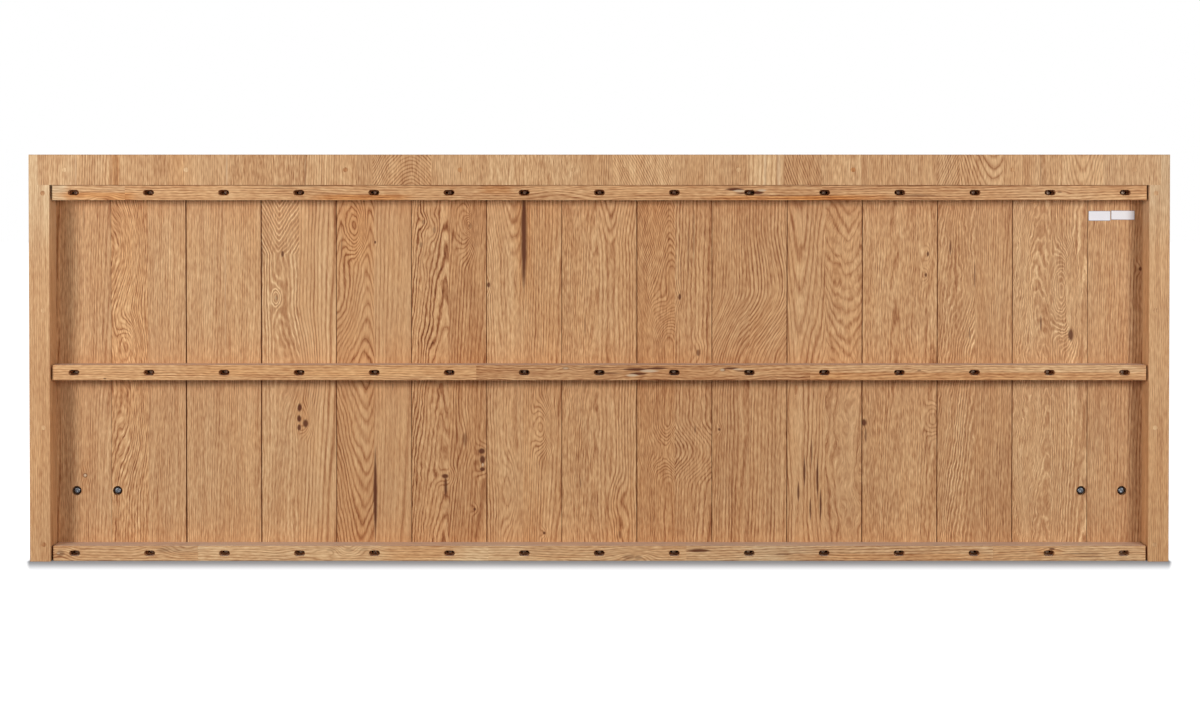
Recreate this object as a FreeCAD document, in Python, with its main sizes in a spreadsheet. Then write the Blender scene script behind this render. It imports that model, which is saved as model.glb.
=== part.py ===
import FreeCAD, Part
import math
import os
import Sketcher

# An oak headboard of upright tongue-and-groove planks, framed and battened behind. The back looks
# along -Y, the sleeper's side along +Y, and the headboard stands on z = 0. Sizes in millimetres.

SHEET_ROWS = (
    # The whole headboard
    ("overall_width", 2100.0),
    ("overall_height", 750.0),
    ("edge_bevel", 1.5),
    # Planks
    ("plank_count", 15),
    ("plank_thickness", 20.0),
    ("joint_gap", 1.0),
    ("joint_bevel", 0.6),
    ("tongue_length", 5.0),
    ("tongue_thickness", 6.0),
    ("tongue_side_clearance", 0.2),
    ("tongue_tip_clearance", 1.0),
    ("tongue_tip_bevel", 0.8),
    # Frame behind the planks
    ("frame_depth", 55.0),
    ("stile_width", 38.0),
    ("rail_height", 56.0),
    ("corner_leg", 17.0),
    # Battens
    ("batten_height", 28.0),
    ("batten_setback", 7.0),
    ("batten_end_gap", 3.0),
    ("batten_bevel", 1.0),
    ("middle_batten_level", 348.0),
    ("slot_end_inset", 40.0),
    ("slot_length", 20.0),
    ("slot_width", 10.0),
    ("slot_travel", 10.0),
    # Wood screws
    ("screw_diameter", 4.0),
    ("screw_length", 40.0),
    ("screw_grip", 25.0),
    ("screw_head_diameter", 8.0),
    ("screw_head_height", 3.0),
    ("screw_hole_clearance", 0.5),
    ("pilot_overrun", 1.0),
    # Plugs over the frame screws
    ("plug_diameter", 9.0),
    ("plug_thickness", 8.0),
    ("stile_plug_count", 4),
    ("stile_plug_inset", 26.0),
    ("stile_plug_foot", 31.0),
    ("stile_plug_head_gap", 15.0),
    # Bolts for the bed base
    ("bolt_diameter", 8.0),
    ("bolt_length", 35.0),
    ("bolt_thread_diameter", 7.8),
    ("bolt_hole_clearance", 0.5),
    ("bolt_head_diameter", 14.0),
    ("bolt_head_height", 4.4),
    ("bolt_head_rim", 1.0),
    ("bolt_socket", 5.0),
    ("bolt_socket_depth", 2.8),
    ("counterbore_diameter", 17.6),
    ("counterbore_depth", 5.0),
    ("bolt_spacing", 76.0),
    ("bolt_pair_from_joint", 27.0),
    ("bolt_level", 124.0),
)

# How wide each joint between two planks stands open, as a share of joint_gap, from the left.
JOINT_GAP_SHARES = (0.3, 1.3, 1.0, 0.7, 0.7, 0.7, 0.65, 1.0, 0.7, 0.85, 1.0, 0.85, 0.85, 0.65)

# Where the rail's plugs lie to each side of the middle, as a share of half the rail.
RAIL_PLUG_SHARES = (0.046, 0.248, 0.452, 0.7357, 0.953)

# The many small round pieces and holes have flat sides, which keeps the model light.
SCREW_SIDES = 6
PLUG_SIDES = 12
COUNTERBORE_END_SIDES = 5
SLOT_END_SIDES = 2
BOLT_HEAD_SIDES = 24
BOLT_NECK_SIDES = 16
SOCKET_SIDES = 6

# Turns stock that stands along Z so that it runs along Y, towards the planks.
UPRIGHT_TO_DEPTH = FreeCAD.Rotation(FreeCAD.Vector(1, 0, 0), -90)

# Two lengths nearer than this count as the same.
SAME_LENGTH = 1e-6

# How a sketch counts its own origin, the two ends of a line and the middle of a circle
ORIGIN = -1
START = 1
END = 2
CENTRE = 3
HORIZONTAL_AXIS = -1
VERTICAL_AXIS = -2


class Size:
    """A length or a count: its number now, and the formula in the sheet's names that gives it."""

    def __init__(self, number, formula):
        self.number = float(number)
        self.formula = formula

    def __add__(self, other):
        other = as_size(other)
        return Size(self.number + other.number, f"({self.formula} + {other.formula})")

    def __sub__(self, other):
        other = as_size(other)
        return Size(self.number - other.number, f"({self.formula} - {other.formula})")

    def __mul__(self, factor):
        factor = as_size(factor)
        return Size(self.number * factor.number, f"({self.formula} * {factor.formula})")

    def __truediv__(self, divisor):
        divisor = as_size(divisor)
        return Size(self.number / divisor.number, f"({self.formula} / {divisor.formula})")

    def __neg__(self):
        return Size(-self.number, f"(0 - {self.formula})")


def as_size(value):
    if isinstance(value, Size):
        return value
    return Size(value, repr(value))


def make_sheet(doc):
    """The driving dimensions, one row each: the name in column A, the number in column B."""
    sheet = doc.addObject("Spreadsheet::Sheet", "Sizes")
    for row, (name, number) in enumerate(SHEET_ROWS, start=1):
        sheet.set(f"A{row}", name)
        sheet.set(f"B{row}", str(number))
        sheet.setAlias(f"B{row}", name)
    doc.recompute()
    return sheet


doc = FreeCAD.newDocument("Headboard")
sheet = make_sheet(doc)


def size(name):
    return Size(sheet.get(name), f"Sizes.{name}")


# Sizes that follow from the driving ones
ZERO = Size(0.0, "0")
plank_count = int(size("plank_count").number)
stile_plug_count = int(size("stile_plug_count").number)
plank_pitch = size("overall_width") / size("plank_count")
half_width = size("overall_width") / 2
overall_depth = size("frame_depth") + size("counterbore_depth") + size("bolt_length")
frame_back = -(overall_depth / 2)
plank_back = frame_back + size("frame_depth")
rail_length = size("overall_width") - size("corner_leg") * 2
rail_foot = size("overall_height") - size("rail_height")
rail_middle = size("overall_height") - size("rail_height") / 2
batten_depth = size("frame_depth") - size("batten_setback")
batten_length = size("overall_width") - (size("stile_width") + size("batten_end_gap")) * 2
slot_pitch = (batten_length - size("slot_end_inset") * 2) / (size("plank_count") - 1)
screw_bite = size("screw_length") - size("screw_grip")
stile_plug_rise = rail_foot - size("stile_plug_foot") - size("stile_plug_head_gap")
stile_plug_pitch = stile_plug_rise / (size("stile_plug_count") - 1)

# Heights of the battens' middles, from the floor up
BATTEN_LEVELS = {
    "bottom": size("batten_height") / 2,
    "middle": size("middle_batten_level"),
    "top": rail_foot - size("batten_height") / 2,
}


def slot_places():
    """Distance of each slot from the headboard's middle."""
    first = -(slot_pitch * (size("plank_count") - 1) / 2)
    return [first + slot_pitch * number for number in range(plank_count)]


def rail_plug_places():
    """Distance of each rail plug from the headboard's middle, left to right."""
    left = [-(rail_length / 2 * share) for share in reversed(RAIL_PLUG_SHARES)]
    right = [rail_length / 2 * share for share in RAIL_PLUG_SHARES]
    return left + right


def stile_plug_levels():
    """Height of each stile plug."""
    return [size("stile_plug_foot") + stile_plug_pitch * number for number in range(stile_plug_count)]


def stile_plug_place(side):
    """Distance of a stile's plugs from the headboard's middle; side is -1 on the left, 1 on the right."""
    return (half_width - size("stile_plug_inset")) * side


def bolt_places(side):
    """Distance of one pair of bolts from the middle: one bolt each side of the outermost joint."""
    outermost_joint = half_width - plank_pitch
    middle = (outermost_joint + size("bolt_pair_from_joint")) * side
    return [middle - size("bolt_spacing") / 2, middle + size("bolt_spacing") / 2]


def bind(thing, path, value):
    thing.setExpression(path, as_size(value).formula)


def new_body(label, x, y, z):
    """An empty body whose own origin lies at x, y, z of the headboard."""
    body = doc.addObject("PartDesign::Body", label)
    body.Label = label
    bind(body, "Placement.Base.x", x)
    bind(body, "Placement.Base.y", y)
    bind(body, "Placement.Base.z", z)
    return body


def origin_part(body, role):
    """One of the body's own origin planes or axes."""
    for feature in body.Origin.OriginFeatures:
        if feature.Role == role:
            return feature
    raise ValueError(role)


def new_sketch(body, name, plane):
    sketch = body.newObject("Sketcher::SketchObject", name)
    sketch.AttachmentSupport = [(origin_part(body, plane), "")]
    sketch.MapMode = "FlatFace"
    return sketch


def vector(place):
    return FreeCAD.Vector(place[0].number, place[1].number, 0)


def pin_points(sketch, pins):
    """Ties points of the sketch to their places, measured from the sketch's origin."""
    axes = (("DistanceX", VERTICAL_AXIS), ("DistanceY", HORIZONTAL_AXIS))
    links = []
    values = []
    for geometry, end, place in pins:
        for value, (kind, axis) in zip(place, axes):
            if value.formula == ZERO.formula:
                links.append(Sketcher.Constraint("PointOnObject", geometry, end, axis))
            else:
                number = value.number
                links.append(Sketcher.Constraint(kind, ORIGIN, START, geometry, end, number))
            values.append(value)
    first = sketch.ConstraintCount
    sketch.addConstraint(links)
    for index, value in enumerate(values, start=first):
        if value.formula != ZERO.formula:
            bind(sketch, f"Constraints[{index}]", value)


def draw_outline(sketch, corners):
    """A closed outline of straight lines through the corners."""
    ends = corners[1:] + corners[:1]
    sides = [Part.LineSegment(vector(start), vector(end)) for start, end in zip(corners, ends)]
    lines = list(sketch.addGeometry(sides, False))
    joins = []
    for line, following in zip(lines, lines[1:] + lines[:1]):
        joins.append(Sketcher.Constraint("Coincident", line, END, following, START))
    sketch.addConstraint(joins)
    pin_points(sketch, [(line, START, corner) for line, corner in zip(lines, corners)])


def draw_circles(sketch, places, diameter):
    """One circle of the same diameter at each place."""
    for place in places:
        circle = Part.Circle(vector(place), FreeCAD.Vector(0, 0, 1), diameter.number / 2)
        geometry = sketch.addGeometry(circle, False)
        pin_points(sketch, [(geometry, CENTRE, place)])
        index = sketch.addConstraint(Sketcher.Constraint("Diameter", geometry, diameter.number))
        bind(sketch, f"Constraints[{index}]", diameter)


def arc_corners(middle, radius, first_angle, last_angle, sides):
    """Corners along an arc about the middle, both ends included, with the angles in degrees."""
    corners = []
    for step in range(sides + 1):
        angle = math.radians(first_angle + (last_angle - first_angle) * step / sides)
        corners.append((middle[0] + radius * math.cos(angle), middle[1] + radius * math.sin(angle)))
    return corners


def level_slot(middle, length, width, sides):
    """A level slot with rounded ends, each end from this many flat sides."""
    reach = (length - width) / 2
    left = (middle[0] - reach, middle[1])
    right = (middle[0] + reach, middle[1])
    left_end = arc_corners(left, width / 2, 90, 270, sides)
    right_end = arc_corners(right, width / 2, -90, 90, sides)
    return left_end + right_end


def add_pad(body, sketch, name, length, reverse=False):
    pad = body.newObject("PartDesign::Pad", name)
    pad.Profile = sketch
    pad.Reversed = reverse
    bind(pad, "Length", length)
    return pad


def add_pocket(body, sketch, name, depth):
    pocket = body.newObject("PartDesign::Pocket", name)
    pocket.Profile = sketch
    bind(pocket, "Length", depth)
    return pocket


def add_round_pocket(body, name, places, diameter, depth):
    """One pocket of round holes from the back, if the plank has any of these places."""
    if places:
        sketch = new_sketch(body, f"{name}_places", "XZ_Plane")
        draw_circles(sketch, places, diameter)
        add_pocket(body, sketch, name, depth)


def add_round_stock(body, form, name, place, start, length):
    """Adds or takes away round stock that runs towards the planks from the depth start."""
    stock = body.newObject(f"PartDesign::{form}", name)
    stock.Placement = FreeCAD.Placement(FreeCAD.Vector(), UPRIGHT_TO_DEPTH)
    bind(stock, "Placement.Base.x", place[0])
    bind(stock, "Placement.Base.y", start)
    bind(stock, "Placement.Base.z", place[1])
    bind(stock, "Height", length)
    return stock


def add_prism(body, kind, name, place, length, diameter, sides, start=ZERO):
    """Flat-sided round stock, measured across its corners; kind is Additive or Subtractive."""
    prism = add_round_stock(body, f"{kind}Prism", name, place, start, length)
    prism.Polygon = sides
    bind(prism, "Circumradius", diameter / 2)
    return prism


def add_row(body, name, originals, axis, pitch, count):
    """Repeats the originals along one of the body's own axes."""
    row = body.newObject("PartDesign::LinearPattern", name)
    row.Originals = originals
    row.Direction = (origin_part(body, axis), [""])
    bind(row, "Length", pitch * (count - 1))
    bind(row, "Occurrences", count)
    body.Tip = row
    return row


def edges_where(shape, test):
    """Names of the shape's edges of which every point given to the test passes."""
    names = []
    for number, edge in enumerate(shape.Edges, start=1):
        middle = edge.valueAt((edge.FirstParameter + edge.LastParameter) / 2)
        points = [vertex.Point for vertex in edge.Vertexes] + [middle]
        if all(test(point) for point in points):
            names.append(f"Edge{number}")
    return names


def add_bevel(body, name, test, amount):
    """Bevels the edges of the body's last feature that pass the test."""
    doc.recompute()
    base = body.Tip
    bevel = body.newObject("PartDesign::Chamfer", name)
    bevel.Base = (base, edges_where(base.Shape, test))
    bind(bevel, "Size", amount)
    return bevel


def same(first, second):
    return math.isclose(first, as_size(second).number, abs_tol=SAME_LENGTH)


def outline_of_plank(number):
    """The plank seen from above, from its left joint line: groove on the left, tongue on the right."""
    thickness = size("plank_thickness")
    bevel = size("joint_bevel")
    middle = thickness / 2
    half_tongue = size("tongue_thickness") / 2
    if number == 0:
        left_side = [(ZERO, thickness), (ZERO, ZERO)]
    else:
        left = size("joint_gap") * JOINT_GAP_SHARES[(number - 1) % len(JOINT_GAP_SHARES)] / 2
        half_groove = half_tongue + size("tongue_side_clearance")
        groove = left + size("tongue_length") + size("tongue_tip_clearance")
        left_side = [
            (left + bevel, thickness),
            (left, thickness - bevel),
            (left, middle + half_groove),
            (groove, middle + half_groove),
            (groove, middle - half_groove),
            (left, middle - half_groove),
            (left, bevel),
            (left + bevel, ZERO),
        ]
    if number == plank_count - 1:
        right_side = [(plank_pitch, ZERO), (plank_pitch, thickness)]
    else:
        gap = size("joint_gap") * JOINT_GAP_SHARES[number % len(JOINT_GAP_SHARES)]
        right = plank_pitch - gap / 2
        tip = right + size("tongue_length")
        tip_bevel = size("tongue_tip_bevel")
        right_side = [
            (right - bevel, ZERO),
            (right, bevel),
            (right, middle - half_tongue),
            (tip - tip_bevel, middle - half_tongue),
            (tip, middle - half_tongue + tip_bevel),
            (tip, middle + half_tongue - tip_bevel),
            (tip - tip_bevel, middle + half_tongue),
            (right, middle + half_tongue),
            (right, thickness - bevel),
            (right - bevel, thickness),
        ]
    return left_side + right_side


def screw_places():
    """Every wood screw that bites into the planks, as distance from the middle and height."""
    places = []
    for level in BATTEN_LEVELS.values():
        places += [(place, level) for place in slot_places()]
    places += [(place, rail_middle) for place in rail_plug_places()]
    for side in (-1, 1):
        places += [(stile_plug_place(side), level) for level in stile_plug_levels()]
    return places


def places_on_plank(places, number, left_edge, diameter, reach):
    """The places whose hole of this diameter meets the plank, measured from its left joint line."""
    low = left_edge.number - diameter.number / 2
    high = left_edge.number + plank_pitch.number + diameter.number / 2
    if number < plank_count - 1:
        high += reach.number
    return [(x - left_edge, z) for x, z in places if low < x.number < high]


def make_plank(number):
    """One upright plank with its screw holes and, near the ends, its bolt holes."""
    left_edge = -half_width + plank_pitch * number
    body = new_body(f"plank_{number + 1:02d}", left_edge, plank_back, ZERO)
    profile = new_sketch(body, "profile", "XY_Plane")
    draw_outline(profile, outline_of_plank(number))
    add_pad(body, profile, "board", size("overall_height"))

    outer = ZERO if number == 0 else plank_pitch

    def is_outer_edge(point):
        if not same(point.y, size("plank_thickness")):
            return False
        on_side = number in (0, plank_count - 1) and same(point.x, outer)
        return on_side or same(point.z, size("overall_height"))

    add_bevel(body, "outer_bevel", is_outer_edge, size("edge_bevel"))

    screw = size("screw_diameter")
    tongue = size("tongue_length")
    depth = screw_bite + size("pilot_overrun")
    for place in places_on_plank(screw_places(), number, left_edge, screw, tongue):
        add_prism(body, "Subtractive", "pilot_hole", place, depth, screw, SCREW_SIDES)

    bolts = [(x, size("bolt_level")) for side in (-1, 1) for x in bolt_places(side)]
    hole = size("bolt_diameter") + size("bolt_hole_clearance")
    thickness = size("plank_thickness")
    passing = places_on_plank(bolts, number, left_edge, hole, tongue)
    add_round_pocket(body, "bolt_holes", passing, hole, thickness)
    sunk = size("counterbore_diameter")
    wide = places_on_plank(bolts, number, left_edge, sunk, ZERO)
    add_round_pocket(body, "counterbores", wide, sunk, size("counterbore_depth"))
    return body


def add_plug_hole(body, name, place):
    """A hole from the back: wide down to the screw's seat, narrow from there to the planks."""
    seat = size("frame_depth") - size("screw_grip")
    wide = size("plug_diameter")
    narrow = size("screw_diameter") + size("screw_hole_clearance")
    through = size("frame_depth")
    kind = "Subtractive"
    plug_hole = add_prism(body, kind, f"{name}_plug_hole", place, seat, wide, PLUG_SIDES)
    screw_hole = add_prism(body, kind, f"{name}_hole", place, through, narrow, SCREW_SIDES)
    return [plug_hole, screw_hole]


def make_stile(label, side):
    """A stile: its outer leg runs to the top, and its inner part stops under the rail."""
    body = new_body(label, half_width * side, frame_back, ZERO)
    profile = new_sketch(body, "profile", "XZ_Plane")
    inward = -side
    leg = size("corner_leg") * inward
    inner = size("stile_width") * inward
    corners = [
        (ZERO, ZERO),
        (inner, ZERO),
        (inner, rail_foot),
        (leg, rail_foot),
        (leg, size("overall_height")),
        (ZERO, size("overall_height")),
    ]
    draw_outline(profile, corners)
    add_pad(body, profile, "board", size("frame_depth"), reverse=True)

    def is_outer_edge(point):
        on_back = same(point.y, ZERO)
        return on_back and (same(point.x, ZERO) or same(point.z, size("overall_height")))

    add_bevel(body, "outer_bevel", is_outer_edge, size("edge_bevel"))
    foot = (size("stile_plug_inset") * inward, size("stile_plug_foot"))
    holes = add_plug_hole(body, "foot", foot)
    add_row(body, "plug_holes", holes, "Z_Axis", stile_plug_pitch, size("stile_plug_count"))
    return body


def make_rail():
    """The top rail, which lies in the notches of the two stiles."""
    body = new_body("top_rail", ZERO, frame_back, rail_foot)
    profile = new_sketch(body, "profile", "XZ_Plane")
    half = rail_length / 2
    height = size("rail_height")
    draw_outline(profile, [(-half, ZERO), (half, ZERO), (half, height), (-half, height)])
    add_pad(body, profile, "board", size("frame_depth"), reverse=True)

    def is_outer_edge(point):
        return same(point.y, ZERO) and same(point.z, height)

    add_bevel(body, "outer_bevel", is_outer_edge, size("edge_bevel"))
    for number, place in enumerate(rail_plug_places(), start=1):
        add_plug_hole(body, f"rail_{number}", (place, height / 2))
    return body


def make_batten(name, level):
    """A batten with a counterbored slot for each plank, in which the screw can slide."""
    back = frame_back + size("batten_setback")
    body = new_body(f"{name}_batten", ZERO, back, level)
    profile = new_sketch(body, "profile", "XZ_Plane")
    half = batten_length / 2
    half_height = size("batten_height") / 2
    corners = [(-half, -half_height), (half, -half_height), (half, half_height), (-half, half_height)]
    draw_outline(profile, corners)
    add_pad(body, profile, "board", batten_depth, reverse=True)

    def is_back_edge(point):
        return same(point.y, ZERO)

    add_bevel(body, "back_bevel", is_back_edge, size("batten_bevel"))
    first = (slot_places()[0], ZERO)
    sunk_sketch = new_sketch(body, "counterbore_place", "XZ_Plane")
    sunk_outline = level_slot(first, size("slot_length"), size("slot_width"), COUNTERBORE_END_SIDES)
    draw_outline(sunk_sketch, sunk_outline)
    sunk = add_pocket(body, sunk_sketch, "counterbore", batten_depth - size("screw_grip"))
    width = size("screw_diameter") + size("screw_hole_clearance")
    slot_sketch = new_sketch(body, "slot_place", "XZ_Plane")
    draw_outline(slot_sketch, level_slot(first, width + size("slot_travel"), width, SLOT_END_SIDES))
    slot = add_pocket(body, slot_sketch, "slot", batten_depth)
    add_row(body, "slots", [sunk, slot], "X_Axis", slot_pitch, size("plank_count"))
    return body


def add_screw(body, name, place):
    """A wood screw with its head's top at depth 0 of the body: head first, then shank."""
    height = size("screw_head_height")
    diameter = size("screw_head_diameter")
    head = add_prism(body, "Additive", f"{name}_head", place, height, diameter, SCREW_SIDES)
    reach = height + size("screw_length")
    wire = size("screw_diameter")
    shank = add_prism(body, "Additive", f"{name}_shank", place, reach, wire, SCREW_SIDES)
    return [head, shank]


def add_plug(body, name, place):
    """A wood plug, flush with the back of the frame."""
    diameter = size("plug_diameter")
    length = size("plug_thickness")
    return [add_prism(body, "Additive", name, place, length, diameter, PLUG_SIDES)]


def make_row_group(label, depth, add_piece, first, axis, pitch, count):
    """A node of like pieces, evenly spaced along an axis from the first place."""
    body = new_body(label, ZERO, depth, ZERO)
    add_row(body, "row", add_piece(body, "first", first), axis, pitch, count)
    return body


def make_placed_group(label, depth, add_piece, places):
    """A node of like pieces, one at each place."""
    body = new_body(label, ZERO, depth, ZERO)
    for number, place in enumerate(places, start=1):
        add_piece(body, f"piece_{number}", place)
    return body


def add_bolt(body, name, place):
    """A bolt with the top of its head at depth 0: head, plain neck in the plank, threaded end, socket."""
    head = size("bolt_head_height")
    wide = size("bolt_head_diameter")
    add_prism(body, "Additive", f"{name}_head", place, head, wide, BOLT_HEAD_SIDES)
    neck = size("plank_thickness") - size("counterbore_depth")
    full = size("bolt_diameter")
    add_prism(body, "Additive", f"{name}_neck", place, neck, full, BOLT_NECK_SIDES, start=head)
    end = size("bolt_length") - neck
    threaded = add_round_stock(body, "AdditiveCylinder", f"{name}_end", place, head + neck, end)
    bind(threaded, "Radius", size("bolt_thread_diameter") / 2)


def make_bolts(label, side):
    """A pair of button head bolts whose threaded ends stand out on the sleeper's side."""
    seat = plank_back + size("counterbore_depth")
    origin = bolt_places(side)[0]
    body = new_body(label, origin, seat - size("bolt_head_height"), size("bolt_level"))
    places = [(ZERO, ZERO), (size("bolt_spacing"), ZERO)]
    for number, place in enumerate(places, start=1):
        add_bolt(body, f"bolt_{number}", place)

    def is_head_edge(point):
        return same(point.y, ZERO)

    add_bevel(body, "domes", is_head_edge, size("bolt_head_height") - size("bolt_head_rim"))
    across_corners = size("bolt_socket") / math.cos(math.pi / SOCKET_SIDES)
    depth = size("bolt_socket_depth")
    for number, place in enumerate(places, start=1):
        name = f"socket_{number}"
        add_prism(body, "Subtractive", name, place, depth, across_corners, SOCKET_SIDES)
    return body


def make_all():
    """Every body of the headboard."""
    bodies = [make_plank(number) for number in range(plank_count)]
    bodies.append(make_rail())
    head_top = plank_back - size("screw_grip") - size("screw_head_height")
    slots = ("X_Axis", slot_pitch, size("plank_count"))
    for name, level in BATTEN_LEVELS.items():
        bodies.append(make_batten(name, level))
        first = (slot_places()[0], level)
        label = f"{name}_batten_screws"
        bodies.append(make_row_group(label, head_top, add_screw, first, *slots))
    rail_places = [(place, rail_middle) for place in rail_plug_places()]
    bodies.append(make_placed_group("rail_plugs", frame_back, add_plug, rail_places))
    bodies.append(make_placed_group("rail_screws", head_top, add_screw, rail_places))
    rise = ("Z_Axis", stile_plug_pitch, size("stile_plug_count"))
    for hand, side in (("left", -1), ("right", 1)):
        bodies.append(make_stile(f"{hand}_stile", side))
        foot = (stile_plug_place(side), size("stile_plug_foot"))
        plugs = f"{hand}_stile_plugs"
        screws = f"{hand}_stile_screws"
        bodies.append(make_row_group(plugs, frame_back, add_plug, foot, *rise))
        bodies.append(make_row_group(screws, head_top, add_screw, foot, *rise))
        bodies.append(make_bolts(f"{hand}_bed_bolts", side))
    return bodies


def check_all(bodies):
    """Stops the build if any object failed, or a hole took nothing away."""
    for thing in doc.Objects:
        if "Invalid" in thing.State or "Error" in thing.State:
            raise RuntimeError(f"{thing.Label} is {thing.State}")
    for body in bodies:
        if body.Shape.isNull() or not body.Shape.isValid():
            raise RuntimeError(f"{body.Label} has no valid shape")
        for feature in body.Group:
            if feature.TypeId in ("PartDesign::Pocket", "PartDesign::SubtractivePrism"):
                if feature.Shape.Volume >= feature.BaseFeature.Shape.Volume:
                    raise RuntimeError(f"{body.Label}: {feature.Name} cuts nothing")


bodies = make_all()
doc.recompute()
check_all(bodies)
os.makedirs("parts", exist_ok=True)
for body in bodies:
    body.Shape.exportStep(f"parts/{body.Label}.step")
print(f"{len(bodies)} nodes, {sum(len(body.Shape.Solids) for body in bodies)} solids")
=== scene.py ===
import math

import bmesh
import bpy
from mathutils import Matrix, Vector


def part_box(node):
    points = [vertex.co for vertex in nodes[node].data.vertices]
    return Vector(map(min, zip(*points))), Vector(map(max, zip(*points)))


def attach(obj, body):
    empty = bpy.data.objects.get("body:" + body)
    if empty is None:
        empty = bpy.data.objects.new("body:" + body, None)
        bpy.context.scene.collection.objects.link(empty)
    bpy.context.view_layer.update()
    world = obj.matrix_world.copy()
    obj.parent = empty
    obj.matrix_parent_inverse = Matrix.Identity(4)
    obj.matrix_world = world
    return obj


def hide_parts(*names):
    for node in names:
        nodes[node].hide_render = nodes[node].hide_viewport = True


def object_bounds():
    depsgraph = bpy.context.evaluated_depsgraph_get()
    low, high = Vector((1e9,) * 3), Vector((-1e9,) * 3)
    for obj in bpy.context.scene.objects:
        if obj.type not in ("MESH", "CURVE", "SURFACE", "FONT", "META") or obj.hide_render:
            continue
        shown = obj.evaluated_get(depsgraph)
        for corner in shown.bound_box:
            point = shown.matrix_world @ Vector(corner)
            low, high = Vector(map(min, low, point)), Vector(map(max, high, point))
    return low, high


# An oak headboard seen from behind, on a pale floor. Lengths are metres in the scene and
# millimetres in the wood's materials.

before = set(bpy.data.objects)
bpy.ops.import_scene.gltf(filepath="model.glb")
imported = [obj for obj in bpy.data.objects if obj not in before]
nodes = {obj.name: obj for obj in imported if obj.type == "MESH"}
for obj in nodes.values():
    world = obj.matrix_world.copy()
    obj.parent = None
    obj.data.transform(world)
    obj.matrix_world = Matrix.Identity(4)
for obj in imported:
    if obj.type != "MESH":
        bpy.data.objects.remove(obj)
cad_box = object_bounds()

MM = 0.001
PER_METRE = 1000.0


# The camera, the lamps and the world.

VIEW_FROM = Vector((0.0013, -4.35, 0.672))
VIEW_TILT = math.radians(0.9)
VIEW_SHIFT = -0.1015
LENS = 70.17

LAMPS = (
    # name, place, width, height, power
    ("lamp_left", (-2.5, -2.3, 1.0), 0.84, 0.62, 47.6),
    ("lamp_right", (1.92, -2.3, 1.0), 0.62, 0.62, 29.6),
    ("lamp_front", (0.5, 2.6, 2.3), 1.2, 0.8, 76.0),
)
LAMP_TARGET = Vector((0.0, 0.0, 1.2))
WORLD_STRENGTH = 0.34

# The floor is grey-blue and also glows where it is seen, from little at the headboard's foot to
# white a hand's breadth away, so the grey near the foot is a painted contact shadow. SIDE_SHARPNESS
# is how much narrower the painted shadow is beside the headboard than before it, and SHADOW_TAPER
# how fast it narrows to the camera.
FLOOR_SIZE = 60.0
FLOOR_DROP = 0.0004
FLOOR_COLOUR = (0.36, 0.395, 0.44, 1.0)
GLOW_AT_FOOT = 0.085
GLOW_NEAR = 0.87
GLOW_FAR = 1.0
SHADOW_WIDTH = 0.12
SIDE_SHARPNESS = 14.0
SHADOW_TAPER = 0.26
NEAR_REACH = 2.5

# A noise texture's channels stay within a third of their middle.
NOISE_MIDDLE = 0.5
NOISE_GAIN = 3.0


class Signal:
    """A socket of a material's tree that can be written in plain sums."""

    def __init__(self, graph, socket):
        self.graph = graph
        self.socket = socket

    def __add__(self, other):
        return self.graph.math("ADD", self, other)

    def __sub__(self, other):
        return self.graph.math("SUBTRACT", self, other)

    def __mul__(self, other):
        return self.graph.math("MULTIPLY", self, other)

    def __truediv__(self, other):
        return self.graph.math("DIVIDE", self, other)

    def __abs__(self):
        return self.graph.math("ABSOLUTE", self)


class Graph:
    """Builds the nodes of one material or world."""

    def __init__(self, tree):
        self.tree = tree

    def node(self, kind, entries=None, **settings):
        made = self.tree.nodes.new("ShaderNode" + kind)
        for name, value in settings.items():
            setattr(made, name, value)
        for place, value in (entries or {}).items():
            if isinstance(value, Signal):
                self.tree.links.new(value.socket, made.inputs[place])
            else:
                made.inputs[place].default_value = value
        return made

    def out(self, made, place=0):
        return Signal(self, made.outputs[place])

    def math(self, operation, *values):
        return self.out(self.node("Math", dict(enumerate(values)), operation=operation))

    def smooth(self, value, low, high, bottom=0.0, top=1.0):
        """Goes smoothly from bottom to top while value goes from low to high."""
        entries = {"Value": value, 1: low, 2: high, 3: bottom, 4: top}
        return self.out(self.node("MapRange", entries, interpolation_type="SMOOTHSTEP"))

    def distance(self, first, second):
        return self.math("SQRT", first * first + second * second)

    def vector(self, x, y, z):
        return self.out(self.node("CombineXYZ", {0: x, 1: y, 2: z}))

    def noise(self, place, detail=1.0, roughness=0.5):
        """Three noises that run from about -1 to 1."""
        entries = {"Vector": place, "Scale": 1.0, "Detail": detail, "Roughness": roughness}
        made = self.node("TexNoise", entries)
        parts = self.node("SeparateColor", {0: self.out(made, "Color")})
        return [(self.out(parts, number) - NOISE_MIDDLE) * NOISE_GAIN for number in range(3)]

    def object_place(self):
        """Where on the headboard a point is, in metres."""
        return self.out(self.node("TexCoord"), "Object")

    def object_noise(self, scale, detail):
        """Noise with so many lumps to the metre."""
        entries = {0: self.object_place(), "Scale": scale}
        scaled = self.node("VectorMath", entries, operation="SCALE")
        return self.noise(self.out(scaled), detail)

    def mix(self, share, first, second):
        """Mixes two colours. 6, 7 and 2 are the node's colour sockets."""
        made = self.node("Mix", {0: share, 6: first, 7: second}, data_type="RGBA")
        return self.out(made, 2)

    def surface(self, colour, roughness, height, bump, more=None):
        """The shader with a bump, given as its strength and its height in metres."""
        strength, distance = bump
        entries = {"Strength": strength, "Distance": distance, "Height": height}
        normal = self.out(self.node("Bump", entries))
        entries = {"Base Color": colour, "Roughness": roughness, "Normal": normal, **(more or {})}
        self.node("OutputMaterial", {0: self.out(self.node("BsdfPrincipled", entries))})


def link(name, data):
    """A new object in the scene."""
    made = bpy.data.objects.new(name, data)
    bpy.context.scene.collection.objects.link(made)
    return made


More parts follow.
